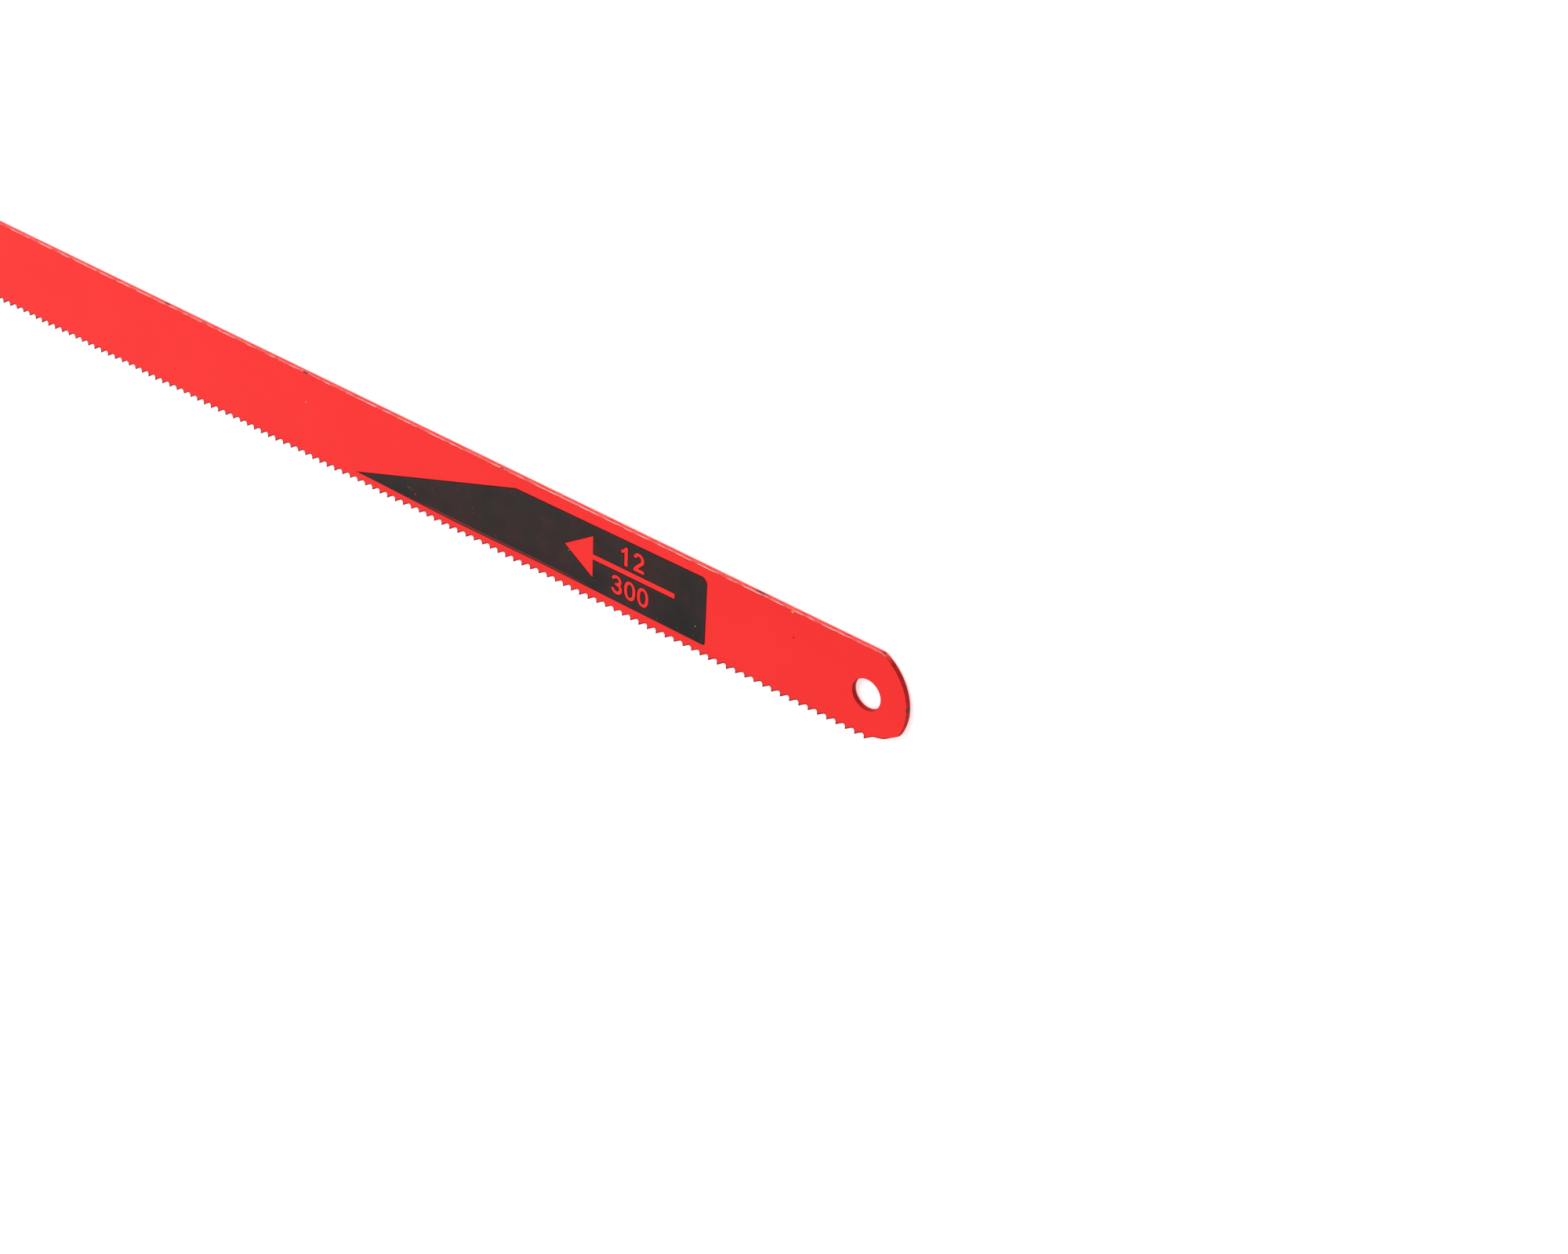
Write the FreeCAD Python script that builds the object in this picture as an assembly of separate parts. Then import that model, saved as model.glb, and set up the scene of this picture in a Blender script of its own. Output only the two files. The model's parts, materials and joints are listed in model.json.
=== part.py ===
"""Hand hacksaw blade: one strip of steel with a wavy-set toothed edge and a pin hole near each end.

X runs along the blade, from pin hole to pin hole. The teeth stand on the -Y edge and point towards -X.
The blade lies flat, and Z = 0 is the lowest point of its set teeth. The origin is the middle of the blade.
"""
import FreeCAD, Part
import math
import os
from FreeCAD import Vector

# Strip
hole_spacing = 300.0        # between the centres of the pin holes
width = 12.65               # from the tooth tips to the back edge
thickness = 0.65
arris = 0.05                # bevel along both corners of the back edge

# Ends
pin_hole_diameter = 4.1
pin_hole_height = 6.15      # its centre, above the tooth tips
end_reach = 5.95            # from the centre of a pin hole to the end of the blade
end_drop = 0.175            # the blade is longest this far below the middle of its width
end_flatness = 0.925        # by which the radius of the end is more than half the width
corner_reach = 2.88         # from the centre of a pin hole to where the sheared corner begins
corner_height = 1.25        # of that point, above the tooth tips
corner_angle = 33.0
run_out_angle = 14.0        # of the short edge between the teeth and the sheared corner
run_out_blend = 2.0         # radius where that edge turns into the sheared corner

# Teeth
teeth_per_inch = 18
flank_angle = 34.0          # of the back of a tooth, to the line of the tips
face_share = 0.43           # height of a tooth's square face, as a share of the pitch
gullet_share = 0.28         # radius of the gullet between the flank and the next face, as such a share
tooth_overrun = 0.06        # the last tip stands this far outside the centre of the pin hole

# Wavy set
set_amount = 0.12           # the tips sway this far to each side
set_height = 1.5            # of the band that sways
set_wave_teeth = 8          # teeth in one wave
set_phase = 97.0            # of the wave, in degrees, at the last tip
set_plain_end = 4.0         # straight stretch beside the last tooth at each end
set_fade = 12.0             # stretch over which the sway then grows to its full amount

# Worked out from the sizes above
pitch = 25.4 / teeth_per_inch
gullet_radius = gullet_share * pitch
flank = Vector(math.cos(math.radians(flank_angle)), math.sin(math.radians(flank_angle)), 0)
run_out = Vector(math.cos(math.radians(run_out_angle)), math.sin(math.radians(run_out_angle)), 0)
shear = Vector(math.cos(math.radians(corner_angle)), math.sin(math.radians(corner_angle)), 0)
hole_x = hole_spacing / 2
end_x = hole_x + end_reach
end_radius = width / 2 + end_flatness
back_y = width / 2
tip_y = -width / 2
hole_y = tip_y + pin_hole_height
set_line_y = tip_y + set_height
underside = set_amount      # the plain strip lies above Z = 0 by the sway of the teeth
overshoot = 0.5             # the blank stands proud of the outline by this much, all round
poles_per_wave = 4          # of the spline that makes the wave


def tooth_tips():
    """X of every tooth tip, from -X to +X."""
    last = hole_x + tooth_overrun
    steps = round(2 * last / pitch)
    return [last - pitch * step for step in range(steps, -1, -1)]


def mirrored(point):
    """The same point of the other end."""
    return Vector(-point.x, point.y, point.z)


def end_points():
    """The points that shape the +X end: run-out corner, sheared corner, end of the blade, back corner."""
    nose = Vector(end_x, -end_drop, 0)
    centre = nose - Vector(end_radius, 0, 0)
    corner = Vector(hole_x + corner_reach, tip_y + corner_height, 0)
    out = corner - centre
    along = out.dot(shear)
    sheared = corner + shear * (math.sqrt(along ** 2 - out.dot(out) + end_radius ** 2) - along)
    back = Vector(centre.x + math.sqrt(end_radius ** 2 - (back_y - centre.y) ** 2), back_y, 0)
    return corner, sheared, nose, back


def rounded(points, radii):
    """Edges of an open path through points, each inner one rounded by its radius."""
    edges = []
    start = points[0]
    for before, point, after, radius in zip(points, points[1:], points[2:], radii):
        back = (before - point).normalize()
        ahead = (after - point).normalize()
        half_angle = back.getAngle(ahead) / 2
        inward = (back + ahead).normalize()
        arc_start = point + back * (radius / math.tan(half_angle))
        arc_middle = point + inward * (radius / math.sin(half_angle) - radius)
        arc_end = point + ahead * (radius / math.tan(half_angle))
        edges.append(Part.makeLine(start, arc_start))
        edges.append(Part.Arc(arc_start, arc_middle, arc_end).toShape())
        start = arc_end
    edges.append(Part.makeLine(start, points[-1]))
    return edges


def first_run_out(first_tip):
    """Edges from the -X sheared corner to the first tooth tip."""
    corner, sheared, _, _ = end_points()
    face_top = Vector(first_tip, corner.y - (corner.x + first_tip) * run_out.y / run_out.x, 0)
    path = [mirrored(sheared), mirrored(corner), face_top, Vector(first_tip, tip_y, 0)]
    return rounded(path, [run_out_blend, gullet_radius])


def last_run_out(last_tip):
    """Edges from the last tooth tip to the +X sheared corner."""
    corner, sheared, _, _ = end_points()
    tip = Vector(last_tip, tip_y, 0)
    to_corner = corner - tip
    rise = (to_corner.y * run_out.x - to_corner.x * run_out.y) / (flank.y * run_out.x - flank.x * run_out.y)
    return rounded([tip, tip + flank * rise, corner, sheared], [gullet_radius, run_out_blend])


def gullet(tip):
    """Edges from this tooth tip up its flank, round the gullet and down the next tooth's face."""
    tip = Vector(tip, tip_y, 0)
    next_tip = tip + Vector(pitch, 0, 0)
    face_top = next_tip + Vector(0, face_share * pitch, 0)
    off_flank = Vector(flank.y, -flank.x, 0)
    drop = (face_top - tip).dot(off_flank)
    run = (face_top - tip).dot(flank) - math.sqrt(drop * (2 * gullet_radius - drop))
    flank_top = tip + flank * run
    gullet_top = flank_top + off_flank * gullet_radius + Vector(0, gullet_radius, 0)
    return [Part.makeLine(tip, flank_top), Part.Arc(flank_top, gullet_top, face_top).toShape(),
            Part.makeLine(face_top, next_tip)]


def toothed_edge():
    """Edges from the -X sheared corner, along the run-outs and all the teeth, to the +X sheared corner."""
    tips = tooth_tips()
    teeth = [edge for tip in tips[:-1] for edge in gullet(tip)]
    return first_run_out(tips[0]) + teeth + last_run_out(tips[-1])


def outline():
    """The blade's flat outline with its two pin holes, as a face at Z = 0."""
    _, sheared, nose, back = end_points()
    edges = toothed_edge()
    edges.append(Part.Arc(sheared, nose, back).toShape())
    edges.append(Part.LineSegment(back, mirrored(back)).toShape())
    edges.append(Part.Arc(mirrored(back), mirrored(nose), mirrored(sheared)).toShape())
    wires = [Part.Wire(edges)]
    for x in (-hole_x, hole_x):
        circle = Part.Circle(Vector(x, hole_y, 0), Vector(0, 0, 1), pin_hole_diameter / 2)
        wires.append(Part.Wire(circle.toShape()))
    return Part.makeFace(wires, "Part::FaceMakerBullseye")


def sway(x):
    """How far the wave moves the tooth tips up or down at this place along the blade."""
    tips = tooth_tips()
    from_end = min(tips[-1] - x, x - tips[0]) - set_plain_end
    grown = min(max(from_end / set_fade, 0), 1)
    turns = (x - tips[-1]) / (set_wave_teeth * pitch)
    wave = math.sin(math.radians(360 * turns + set_phase))
    return set_amount * grown ** 2 * (3 - 2 * grown) * wave


def set_sheet():
    """Underside of the band that carries the teeth. Its wave dies away towards the plain strip."""
    reach = end_x + overshoot
    depth = set_height + overshoot
    count = math.ceil(2 * reach / (set_wave_teeth * pitch) * poles_per_wave)
    # A cubic spline passes inside its poles, so they stand out further than the wave itself
    stand_out = 3 / (2 + math.cos(2 * math.pi / poles_per_wave)) * (depth / set_height) ** 2
    poles = []
    for i in range(count):
        x = reach * (2 * i / (count - 1) - 1)
        low = underside + stand_out * sway(x)
        poles.append([Vector(x, set_line_y, underside), Vector(x, set_line_y - depth / 2, underside),
                      Vector(x, set_line_y - depth, low)])
    surface = Part.BSplineSurface()
    along_repeats = [4] + [1] * (count - 4) + [4]
    along_knots = list(range(count - 2))
    surface.buildFromPolesMultsKnots(poles, along_repeats, [3, 3], along_knots, [0, 1], False, False, 3, 2)
    return surface.toShape()


def blank():
    """The strip before it is cut to its outline: plain above the set line and swayed below it."""
    up = Vector(0, 0, thickness)
    band = set_sheet()
    set_line = max(band.Edges, key=lambda edge: edge.BoundBox.YMin)
    start, end = (vertex.Point for vertex in set_line.Vertexes)
    start_back = Vector(start.x, back_y, start.z)
    end_back = Vector(end.x, back_y, end.z)
    plain_rim = [Part.makeLine(end, end_back), Part.makeLine(end_back, start_back),
                 Part.makeLine(start_back, start)]
    plain = Part.Face(Part.Wire([set_line] + plain_rim))
    band_rim = [edge for edge in band.Edges if not edge.isSame(set_line)]

    walls = [edge.extrude(up) for edge in plain_rim + band_rim]
    shell = Part.Shell([band, plain, band.translated(up), plain.translated(up)] + walls)
    shell.sewShape()
    solid = Part.Solid(shell)
    back_corners = [edge for edge in solid.Edges if edge.BoundBox.YMin > back_y - arris
                    and edge.BoundBox.XLength > hole_spacing]
    return solid.makeChamfer(arris, back_corners)


def blade():
    """The blank, cut to the outline."""
    cutter = outline()
    cutter.translate(Vector(0, 0, -overshoot))
    cutter = cutter.extrude(Vector(0, 0, underside + thickness + set_amount + 2 * overshoot))
    return blank().common(cutter).Solids[0]


os.makedirs("parts", exist_ok=True)
blade().exportStep("parts/blade.step")
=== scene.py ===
"""Finish of a hand hacksaw blade: red enamel over steel, a black printed mark, flecks and light wear.

Everything is in metres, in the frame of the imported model. X runs along the blade and its teeth point
towards -X, Y goes from the toothed edge to the back edge, and Z comes out of the printed face. Sizes are
given in millimetres, times MM.
"""
import json
import math
import bpy
from mathutils import Matrix, Vector
from mathutils.geometry import delaunay_2d_cdt
from mathutils.kdtree import KDTree


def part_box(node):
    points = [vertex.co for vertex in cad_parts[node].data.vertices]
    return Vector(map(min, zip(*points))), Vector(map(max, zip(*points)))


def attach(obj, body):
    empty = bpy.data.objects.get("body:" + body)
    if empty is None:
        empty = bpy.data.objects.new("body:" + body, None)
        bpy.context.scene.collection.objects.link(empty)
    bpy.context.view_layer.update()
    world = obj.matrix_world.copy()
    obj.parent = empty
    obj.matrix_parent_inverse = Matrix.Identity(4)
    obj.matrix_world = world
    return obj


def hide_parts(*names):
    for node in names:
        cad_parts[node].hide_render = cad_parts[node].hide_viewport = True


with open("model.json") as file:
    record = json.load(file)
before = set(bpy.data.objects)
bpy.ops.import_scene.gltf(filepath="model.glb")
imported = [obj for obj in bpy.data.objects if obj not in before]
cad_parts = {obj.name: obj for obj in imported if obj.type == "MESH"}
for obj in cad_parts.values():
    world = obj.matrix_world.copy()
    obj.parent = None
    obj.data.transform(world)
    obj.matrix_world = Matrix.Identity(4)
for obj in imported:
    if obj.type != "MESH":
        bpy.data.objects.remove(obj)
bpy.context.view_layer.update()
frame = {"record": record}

MM = 0.001

# The strip, read from the frame
strip_low, strip_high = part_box("blade")
pin_holes = {mount["name"]: mount for mount in frame["record"]["mounts"]}
handle_hole = pin_holes["handle_end_pin_hole"]
hole_x, hole_y, middle_z = handle_hole["pos_m"]
hole_radius = handle_hole["dims"]["r_mm"] * MM
thickness = handle_hole["dims"]["length_mm"] * MM
tip_y = strip_low.y
back_y = strip_high.y
end_x = strip_high.x
top_z = middle_z + thickness / 2
bottom_z = middle_z - thickness / 2
set_amount = (strip_high.z - strip_low.z - thickness) / 2

# Ends, each corner measured from the centre of its pin hole and from the line of the tooth tips
end_radius = 7.25 * MM
corner_reach = 2.88 * MM
corner_height = 1.25 * MM
corner_angle = math.radians(33)
run_out_angle = math.radians(14)
run_out_blend = 2.0 * MM

# Teeth
pitch = 25.4 / 18 * MM
flank_angle = math.radians(34)
gullet_radius = 0.27 * MM
tooth_overrun = 0.06 * MM

# Wavy set
set_height = 1.5 * MM
set_wave = 8 * pitch
set_phase = math.radians(97)
set_plain_end = 4.0 * MM
set_fade = 12.0 * MM

# Roundings of the corners between the faces and the walls
plain_rounding = 0.07 * MM
tooth_rounding = 0.025 * MM
rounding_steps = 3
curve_step = 0.12 * MM
flank_step = 0.16 * MM
edge_step = 1.2 * MM
rim_width = 0.20 * MM
ring_clearance = 0.92       # a point of an inner ring may stand this share of its inset from any edge
gullet_top = 1.02 * MM      # the rows of points inside the face begin above the gullets
set_rows = 4
row_spread = 1.5            # each row above the set line stands this much further off than the one before
same_place = 1e-5           # points closer than this, in millimetres, are one
sharp_angle = math.radians(40)

# Printed mark, along the blade from the handle end's pin hole and up from the line of the tooth tips
film_height = 0.012 * MM
ridge_height = 0.020 * MM
# How far each ring of points is inside the edge in millimetres, and how much of the edge's look it has
film_rings = ((0.08, 0.85), (0.14, 0.5), (0.20, 0.15), (0.26, 0.0))
film_step = 0.15 * MM
mark_end = 24.58 * MM
mark_end_top = 11.22 * MM
mark_shoulder = 56.07 * MM
mark_shoulder_height = 10.80 * MM
mark_tip = 84.75 * MM
mark_tip_height = 1.57 * MM
mark_low = 66.5 * MM
mark_low_height = 1.44 * MM
mark_bottom = 51.0 * MM
mark_bottom_height = 1.71 * MM
mark_corner_radius = 0.9 * MM
mark_lower_corner_radius = 0.45 * MM
mark_shoulder_radius = 0.3 * MM
mark_soft_bend = 12 * MM
arrow_tip = 47.67 * MM
arrow_head_back = 43.0 * MM
arrow_end = 29.65 * MM
arrow_height = 6.38 * MM
arrow_half_head = 2.93 * MM
arrow_half_shaft = 0.36 * MM
arrow_rise = 0.009
upper_number_place = 38.55 * MM
upper_number_height = 7.38 * MM
lower_number_place = 39.9 * MM
lower_number_height = 2.80 * MM
digit_step = 2.12 * MM
oval_point_angle = 14        # between the points of an oval, in degrees

# Flecks of dust and paint on the face: how far back, how far up, how long, how wide, which colour
flecks = [(93.95, 8.25, 0.22, 0.20, "white"), (11.15, 8.95, 0.26, 0.20, "maroon"),
          (11.5, 12.45, 0.40, 0.30, "amber"), (27.9, 12.3, 0.16, 0.14, "maroon")]

# Flecks on the printed field, in the same way
film_flecks = [(74.9, 3.15, 0.46, 0.15, "olive"), (74.55, 3.35, 0.20, 0.12, "grey"),
               (74.35, 3.1, 0.28, 0.15, "olive"), (75.2, 3.25, 0.18, 0.10, "grey"),
               (73.8, 2.65, 0.34, 0.26, "red"), (70.5, 4.85, 0.18, 0.14, "red"),
               (63.4, 4.95, 0.20, 0.28, "red"), (63.4, 4.5, 0.10, 0.14, "maroon"),
               (63.4, 4.15, 0.16, 0.20, "red"), (66.1, 6.5, 0.16, 0.10, "red"),
               (57.0, 9.8, 0.28, 0.14, "grey"), (56.3, 9.6, 0.16, 0.12, "olive"),
               (46.95, 5.7, 0.22, 0.12, "white"), (46.7, 5.5, 0.12, 0.12, "grey"),
               (41.75, 6.0, 0.20, 0.14, "grey"), (40.0, 10.9, 0.30, 0.14, "maroon"),
               (32.3, 2.1, 0.20, 0.14, "grey"), (29.0, 2.35, 0.18, 0.12, "grey"),
               (26.15, 3.85, 0.18, 0.14, "white"), (26.55, 3.35, 0.14, 0.12, "grey"),
               (26.45, 2.45, 0.18, 0.14, "grey"), (25.25, 2.3, 0.16, 0.14, "grey"),
               (27.5, 7.05, 0.22, 0.14, "maroon"), (59.6, 2.5, 0.16, 0.12, "red"),
               (52.2, 4.9, 0.14, 0.12, "maroon")]
fleck_height = 0.02 * MM
fleck_sides = 7
fleck_shoulder = (0.62, 0.8)  # its size and height, as shares of the fleck's
fleck_unevenness = 0.42
fleck_colours = {"white": (0.40, 0.38, 0.35, 1),
                 "grey": (0.085, 0.085, 0.075, 1),
                 "amber": (0.85, 0.42, 0.09, 1),
                 "olive": (0.12, 0.09, 0.035, 1),
                 "red": (0.34, 0.012, 0.012, 1),
                 "maroon": (0.17, 0.006, 0.007, 1)}

# Chips in the enamel, where the steel's dark scale shows: how far back, up and high, how long and how wide
chips = [(93.91, 12.65, 0.75, 0.45, 0.16), (16.7, 12.65, 0.36, 0.75, 0.16), (15.98, 12.65, 0.22, 0.35, 0.10),
         (58.5, 12.65, 0.70, 0.30, 0.10), (-1.85, 12.60, 0.50, 0.26, 0.16), (-5.93, 6.65, 0.58, 0.20, 0.36),
         (121.0, 12.65, 0.40, 0.60, 0.15), (208.0, 12.65, 0.50, 0.55, 0.15)]

# Colours of the enamel on the faces
enamel_darker = (0.925, 0.0140, 0.0125, 1)
enamel_lighter = (0.945, 0.0165, 0.0145, 1)
enamel_streak = (0.910, 0.0135, 0.0120, 1)
enamel_dust = (0.35, 0.012, 0.012, 1)
tooth_rim_colour = (0.19, 0.005, 0.011, 1)
back_rim_colour = (0.55, 0.014, 0.013, 1)
scale_colour = (0.070, 0.038, 0.030, 1)

# Colours of the walls: the back edge, the ends and the teeth
back_darker = (0.56, 0.010, 0.008, 1)
back_lighter = (0.80, 0.034, 0.028, 1)
back_pale_streak = (0.88, 0.13, 0.11, 1)
# A painted highlight along the back edge's arris, where the enamel is also partly rubbed pale
arris_painted_highlight = (0.98, 0.52, 0.48, 1)
# Painted shade: the ends and the walls of the pin holes are coloured darker, for the weaker light on them
shaded_end_darker = (0.24, 0.003, 0.002, 1)
shaded_end_lighter = (0.46, 0.006, 0.004, 1)
tooth_darker = (0.26, 0.010, 0.015, 1)
tooth_lighter = (0.42, 0.014, 0.017, 1)
tooth_streak = (0.55, 0.022, 0.022, 1)
tooth_tip_colour = (0.10, 0.008, 0.016, 1)

# Colours of the ink
ink_black = (0.0250, 0.0158, 0.0142, 1)
ink_brown = (0.0430, 0.0182, 0.0160, 1)
ink_streak = (0.0240, 0.0152, 0.0138, 1)
ink_greenish = (0.0215, 0.0162, 0.0135, 1)
ink_bluish = (0.0115, 0.0113, 0.0115, 1)
ink_mottle = (0.0140, 0.0125, 0.0120, 1)
ink_thin = (0.0620, 0.0220, 0.0190, 1)
ink_maroon_line = (0.240, 0.020, 0.020, 1)
ink_dust = (0.075, 0.055, 0.050, 1)
ink_red_dust = (0.22, 0.012, 0.012, 1)
# Painted highlight: the paler line on the ridge of the ink's raised edge; painted shade: the darker edge
# outside it
ink_ridge_painted_highlight = (0.050, 0.038, 0.036, 1)
ink_edge_painted_shade = (0.0010, 0.0005, 0.0005, 1)
ink_outer_edge = (0.130, 0.003, 0.004, 1)
fleck_dirt = (0.10, 0.04, 0.03, 1)

# Heights that the bump of each finish stands for
enamel_relief = 0.0035 * MM
wall_relief = 0.012 * MM
tooth_relief = 0.010 * MM
ink_relief = 0.003 * MM
fleck_relief = 0.01 * MM

# Studio
world_brightness = 0.80
key_place = (-0.22, 0.41, 0.335)
key_aim = (0.1, 0, 0)
key_size = 0.35
key_watts = 1.75
floor_half = 20.0
floor_glow = 0.30

# Camera, as the photograph was taken: where it stands, the point it looks at and how far it is rolled
camera_eye = Vector((332.216, 204.836, 249.666)) * MM
camera_aim = Vector((137.349, 3.461, 0.77)) * MM
camera_roll = math.radians(-121.081)
camera_lens = 73.54
camera_sensor = 36.0


def arc(centre, radius, start, end, step):
    """Points of an arc, both ends included, no further apart than the step."""
    count = max(2, math.ceil(abs(end - start) * radius / step))
    angles = [start + (end - start) * i / count for i in range(count + 1)]
    return [centre + Vector((math.cos(angle), math.sin(angle))) * radius for angle in angles]


def line(start, end, step):
    """Points of a straight stretch without its end, no further apart than the step."""
    count = max(1, math.ceil((end - start).length / step))
    return [start.lerp(end, i / count) for i in range(count)]


def rounded_path(points, radii, step):
    """Points of an open path without its last corner, each inner corner rounded by its radius."""
    path = []
    start = points[0]
    for before, corner, after, radius in zip(points, points[1:], points[2:], radii):
        back = (before - corner).normalized()
        ahead = (after - corner).normalized()
        half_angle = back.angle(ahead) / 2
        centre = corner + (back + ahead).normalized() * (radius / math.sin(half_angle))
        arc_start = corner + back * (radius / math.tan(half_angle))
        turn = math.pi - 2 * half_angle
        if (arc_start - centre).cross(back) > 0:
            turn = -turn
        start_angle = math.atan2(arc_start.y - centre.y, arc_start.x - centre.x)
        path += line(start, arc_start, step)
        path += arc(centre, radius, start_angle, start_angle + turn, min(step, radius / 4))[:-1]
        start = corner + ahead * (radius / math.tan(half_angle))
    return path + line(start, points[-1], step)


def tooth_tips():
    """X of every tooth tip, from -X to +X."""
    last = hole_x + tooth_overrun
    steps = round(2 * last / pitch)
    return [last - pitch * step for step in range(steps, -1, -1)]


def mirrored(point):
    return Vector((-point.x, point.y))


def end_corners():
    """The +X end's run-out corner, its sheared corner, the centre of its arc and its back corner."""
    centre = Vector((end_x - end_radius, hole_y))
    corner = Vector((hole_x + corner_reach, tip_y + corner_height))
    shear = Vector((math.cos(corner_angle), math.sin(corner_angle)))
    out = corner - centre
    along = out.dot(shear)
    sheared = corner + shear * (math.sqrt(along ** 2 - out.dot(out) + end_radius ** 2) - along)
    back = Vector((centre.x + math.sqrt(end_radius ** 2 - (back_y - hole_y) ** 2), back_y))
    return corner, sheared, centre, back


def toothed_edge():
    """Outline from the first tooth tip to the last, each tooth a flank, a round gullet and a square face."""
    flank = Vector((math.cos(flank_angle), math.sin(flank_angle)))
    next_tip = Vector((pitch, 0))
    run = pitch - gullet_radius
    centre = Vector((run, run * math.tan(flank_angle) - gullet_radius / math.cos(flank_angle)))
    flank_top = flank * centre.dot(flank)
    round_gullet = arc(centre, gullet_radius, math.pi / 2 + flank_angle, 0, curve_step)
    tooth = line(Vector((0, 0)), flank_top, flank_step) + round_gullet[:-1]
    tooth += line(round_gullet[-1], next_tip, flank_step)
    tips = tooth_tips()
    points = [Vector((tip, tip_y)) + point for tip in tips[:-1] for point in tooth]
    return points + [Vector((tips[-1], tip_y))]


def outline():
    """The blade's outline, anticlockwise from its first tooth tip, as points with their roundings."""
    corner, sheared, centre, back = end_corners()
    teeth = toothed_edge()
    first, last = teeth[0], teeth[-1]
    flank = Vector((math.cos(flank_angle), math.sin(flank_angle)))
    run_out = Vector((math.cos(run_out_angle), math.sin(run_out_angle)))
    to_corner = corner - last
    rise = to_corner.cross(run_out) / flank.cross(run_out)
    last_run_out = rounded_path([last, last + flank * rise, corner, sheared],
                                [gullet_radius, run_out_blend], curve_step)
    face_top = Vector((first.x, corner.y - (corner.x + first.x) * math.tan(run_out_angle)))
    first_run_out = rounded_path([mirrored(sheared), mirrored(corner), face_top, first],
                                 [run_out_blend, gullet_radius], curve_step)
    low_angle = math.atan2(sheared.y - centre.y, sheared.x - centre.x)
    high_angle = math.atan2(back.y - centre.y, back.x - centre.x)
    nose = arc(centre, end_radius, low_angle, high_angle, 2 * curve_step)
    far_nose = [mirrored(point) for point in reversed(nose)]
    back_edge = line(back, mirrored(back), edge_step)[1:]
    toothed = teeth + last_run_out[1:]
    plain = nose + back_edge + far_nose[:-1]
    loop = [(point, tooth_rounding) for point in toothed]
    loop += [(point, plain_rounding) for point in plain]
    return loop + [(point, tooth_rounding) for point in first_run_out]


def pin_hole(x):
    """One pin hole, clockwise so that the steel is on its left."""
    circle = arc(Vector((x, hole_y)), hole_radius, 2 * math.pi, 0, 1.5 * curve_step)[:-1]
    return [(point, plain_rounding) for point in circle]


def inset_moves(points):
    """For each point of a closed loop, how it moves into the steel for an inset of one."""
    moves = []
    for before, point, after in zip(points[-1:] + points, points, points[1:] + points[:1]):
        arriving = (point - before).orthogonal().normalized()
        leaving = (after - point).orthogonal().normalized()
        moves.append((arriving + leaving) / (1 + arriving.dot(leaving)))
    return moves


def inner_rings(loops, insets):
    """Points at each inset inside all the closed loops, with the inset, none crowding a corner."""
    edges = [point for loop in loops for point in loop]
    nearest = KDTree(len(edges))
    for index, point in enumerate(edges):
        nearest.insert((point.x, point.y, 0), index)
    nearest.balance()
    found = []
    for loop in loops:
        moves = inset_moves(loop)
        for inset in insets:
            for point, move in zip(loop, moves):
                place = point + move * inset
                if nearest.find((place.x, place.y, 0))[2] > ring_clearance * inset:
                    found.append((place, inset))
    return found


def sway(point):
    """How far the wavy set lifts or lowers the strip at this place."""
    depth = (tip_y + set_height - point.y) / set_height
    if depth <= 0:
        return 0.0
    tips_from_end = hole_x + tooth_overrun - abs(point.x) - set_plain_end
    grown = min(max(tips_from_end / set_fade, 0), 1)
    wave = math.sin(2 * math.pi * (point.x - hole_x - tooth_overrun) / set_wave + set_phase)
    return set_amount * grown ** 2 * (3 - 2 * grown) * wave * depth ** 2


def face_rows():
    """Points inside the blade's face, in rows that are close together where the set bends the steel."""
    points = []
    for row in range(set_rows):
        y = tip_y + gullet_top + (set_height - gullet_top) * row / (set_rows - 1)
        reach = hole_x - set_plain_end
        count = round(2 * reach / (pitch / 6))
        points += [Vector((reach * (2 * i / count - 1), y)) for i in range(count + 1)]
    step = pitch / 3
    y += step
    while y < back_y - step:
        reach = hole_x - 2 * hole_radius
        count = round(2 * reach / step)
        points += [Vector((reach * (2 * i / count - 1), y)) for i in range(count + 1)]
        step *= row_spread
        y += step
    return points


def triangulated(points, loops):
    """Triangles over points, inside the closed loops that the points begin with, and not in their holes."""
    rims = []
    start = 0
    for loop in loops:
        rims.append(range(start, start + len(loop)))
        start += len(loop)
    in_mm = [point / MM for point in points]
    inside_with_holes = 2
    made, _, triangles, sources, _, _ = delaunay_2d_cdt(in_mm, [], rims, inside_with_holes, same_place)
    return [point * MM for point in made], triangles, sources


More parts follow.
